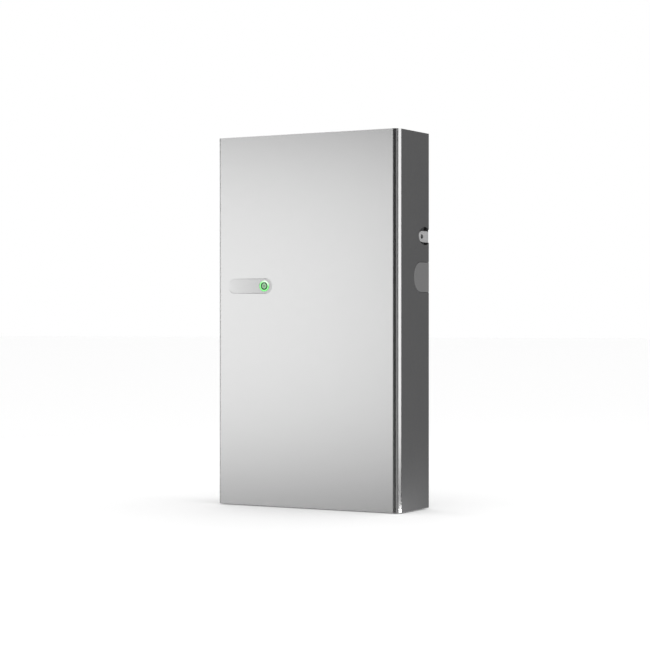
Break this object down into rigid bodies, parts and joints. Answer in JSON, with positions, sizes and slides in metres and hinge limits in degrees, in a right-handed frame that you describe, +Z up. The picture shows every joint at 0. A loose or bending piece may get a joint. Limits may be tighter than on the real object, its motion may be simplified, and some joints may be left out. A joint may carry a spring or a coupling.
{
  "type": "wall battery unit",
  "caption": "Tall flat home battery unit in a folded metal cover with rolled front edges, a lit status button in a sloping recess, side disconnect behind a flap, and a wall bracket.",
  "frame": {"origin": "on the floor under the middle of the unit's box, midway between the front face and the wall plane", "axes": "+Z up along the tall side; +Y from the front face to the wall plane; +X to the side with the disconnect flap"},
  "size_m": [0.55, 0.188, 0.98],
  "materials": {
    "silver_paint": "satin silver powder coat",
    "dark_paint": "satin dark grey powder coat",
    "door_plastic": "fine-textured mid grey",
    "ear_steel": "zinc plated, satin",
    "bracket_steel": "grey powder coat",
    "screw_steel": "stainless, machined",
    "cast_aluminium": "cast, lightly textured",
    "enclosure_paint": "near-black powder coat over aluminium",
    "black_plastic": "fine spark texture",
    "seal_rubber": "moulded",
    "cell_case": "blue wrap",
    "copper": "bare copper",
    "circuit_board": "solder mask",
    "inverter_case": "die cast, dark grey",
    "knob_plastic": "moulded red",
    "status_light": "translucent, lit green",
    "spring_steel": "drawn wire"
  },
  "bodies": {
    "wall_unit": {"bracket_upper_rail": "bracket_steel", "bracket_lower_rail": "bracket_steel", "bracket_strap_left": "bracket_steel", "bracket_strap_right": "bracket_steel", "bracket_ear_left": "ear_steel", "bracket_ear_right": "ear_steel", "ear_screw_left": "screw_steel", "ear_screw_right": "screw_steel", "hanger_hook": "bracket_steel", "enclosure_tub": "enclosure_paint", "wiring_box": "enclosure_paint", "enclosure_gasket": "seal_rubber", "enclosure_lid": "cast_aluminium", "pressure_vent": "black_plastic", "lid_screw_1": "screw_steel", "lid_screw_2": "screw_steel", "lid_screw_3": "screw_steel", "lid_screw_4": "screw_steel", "cell_module_1": "cell_case", "cell_module_2": "cell_case", "cell_module_3": "cell_case", "cell_module_4": "cell_case", "module_clamp": "bracket_steel", "busbar_lower": "copper", "busbar_upper": "copper", "main_fuse": "black_plastic", "battery_monitor_board": "circuit_board", "inverter_plate_lower": "cast_aluminium", "inverter_plate_upper": "cast_aluminium", "microinverter_1": "inverter_case", "microinverter_2": "inverter_case", "microinverter_3": "inverter_case", "microinverter_4": "inverter_case", "microinverter_5": "inverter_case", "microinverter_6": "inverter_case", "controller_housing": "black_plastic", "wiring_cover": "cast_aluminium", "ac_terminal_block": "black_plastic", "ground_bar": "copper", "control_wiring_board": "circuit_board", "wiring_screw_left": "screw_steel", "wiring_screw_right": "screw_steel", "conduit_hub_left": "cast_aluminium", "conduit_hub_right": "cast_aluminium", "hub_plug_left": "black_plastic", "hub_plug_right": "black_plastic", "status_housing": "black_plastic", "light_ring": "status_light", "led_board": "circuit_board", "button_spring": "spring_steel", "disconnect_switch_body": "black_plastic", "disconnect_pocket": "black_plastic", "door_hinge_pin": "screw_steel"},
    "front_cover": {"front_panel": "silver_paint", "side_panel_left": "dark_paint", "side_panel_right": "dark_paint", "top_panel": "dark_paint"},
    "disconnect_door": {"disconnect_door": "door_plastic"},
    "disconnect_knob": {"disconnect_knob": "knob_plastic"},
    "status_button": {"status_button": "status_light"}
  },
  "joints": [
    {"name": "cover_pull_off", "type": "slide", "parent": "wall_unit", "child": "front_cover", "axis": [0, -1, 0], "range_m": [0, 0.3]},
    {"name": "disconnect_door_hinge", "type": "hinge", "parent": "wall_unit", "child": "disconnect_door", "pos_m": [0.269, 0.0725, 0.6044], "axis": [0, 0, 1], "range_deg": [0, 95]},
    {"name": "disconnect_turn", "type": "hinge", "parent": "wall_unit", "child": "disconnect_knob", "pos_m": [0.2389, 0.034, 0.6044], "axis": [1, 0, 0], "range_deg": [0, 90]},
    {"name": "status_press", "type": "slide", "parent": "wall_unit", "child": "status_button", "axis": [0, 1, 0], "range_m": [0, 0.0015], "stiffness_N_per_m": 400, "springref_m": -0.002, "deforming": ["button_spring"]}
  ]
}
